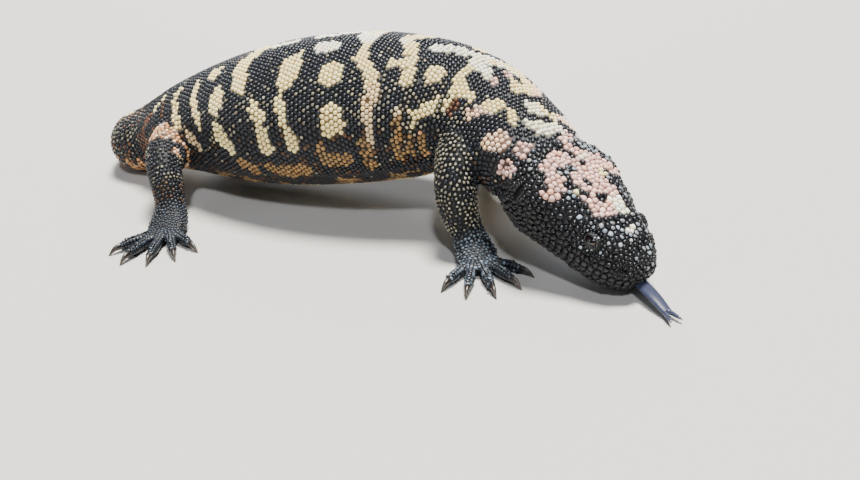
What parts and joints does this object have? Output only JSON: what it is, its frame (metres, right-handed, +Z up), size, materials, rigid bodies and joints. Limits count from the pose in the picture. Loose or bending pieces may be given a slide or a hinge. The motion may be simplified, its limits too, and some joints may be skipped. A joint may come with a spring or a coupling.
{
  "type": "gila monster lizard",
  "caption": "Stout beaded lizard standing on its clawed feet, head lowered and turned to its right with the forked tongue out, thick tail curled on the floor.",
  "frame": {"origin": "centre of the footprint's box, on the floor that the feet and the tail rest on", "axes": "+X the way the trunk faces, +Y the animal's left side, +Z up"},
  "size_m": [0.3154, 0.1968, 0.0795],
  "materials": {
    "skin": "beaded black scales with cream and pink-orange markings",
    "eye": "wet, glossy, very dark brown",
    "tongue": "moist slate blue",
    "claw": "smooth dark horn"
  },
  "bodies": {
    "root": {"head": "skin", "lower_jaw": "skin", "neck": "skin", "torso_chest": "skin", "torso_belly": "skin", "torso_pelvis": "skin", "tail_base": "skin", "tail_middle": "skin", "tail_tip": "skin", "upper_arm_front_right": "skin", "forearm_front_right": "skin", "hand_front_right": "skin", "upper_arm_front_left": "skin", "forearm_front_left": "skin", "hand_front_left": "skin", "thigh_hind_right": "skin", "shin_hind_right": "skin", "foot_hind_right": "skin", "thigh_hind_left": "skin", "shin_hind_left": "skin", "foot_hind_left": "skin", "eye_left": "eye", "eye_right": "eye", "tongue": "tongue", "claw_front_right_1": "claw", "claw_front_right_2": "claw", "claw_front_right_3": "claw", "claw_front_right_4": "claw", "claw_front_right_5": "claw", "claw_front_left_1": "claw", "claw_front_left_2": "claw", "claw_front_left_3": "claw", "claw_front_left_4": "claw", "claw_front_left_5": "claw", "claw_hind_right_1": "claw", "claw_hind_right_2": "claw", "claw_hind_right_3": "claw", "claw_hind_right_4": "claw", "claw_hind_right_5": "claw", "claw_hind_left_1": "claw", "claw_hind_left_2": "claw", "claw_hind_left_3": "claw", "claw_hind_left_4": "claw", "claw_hind_left_5": "claw"}
  },
  "joints": []
}
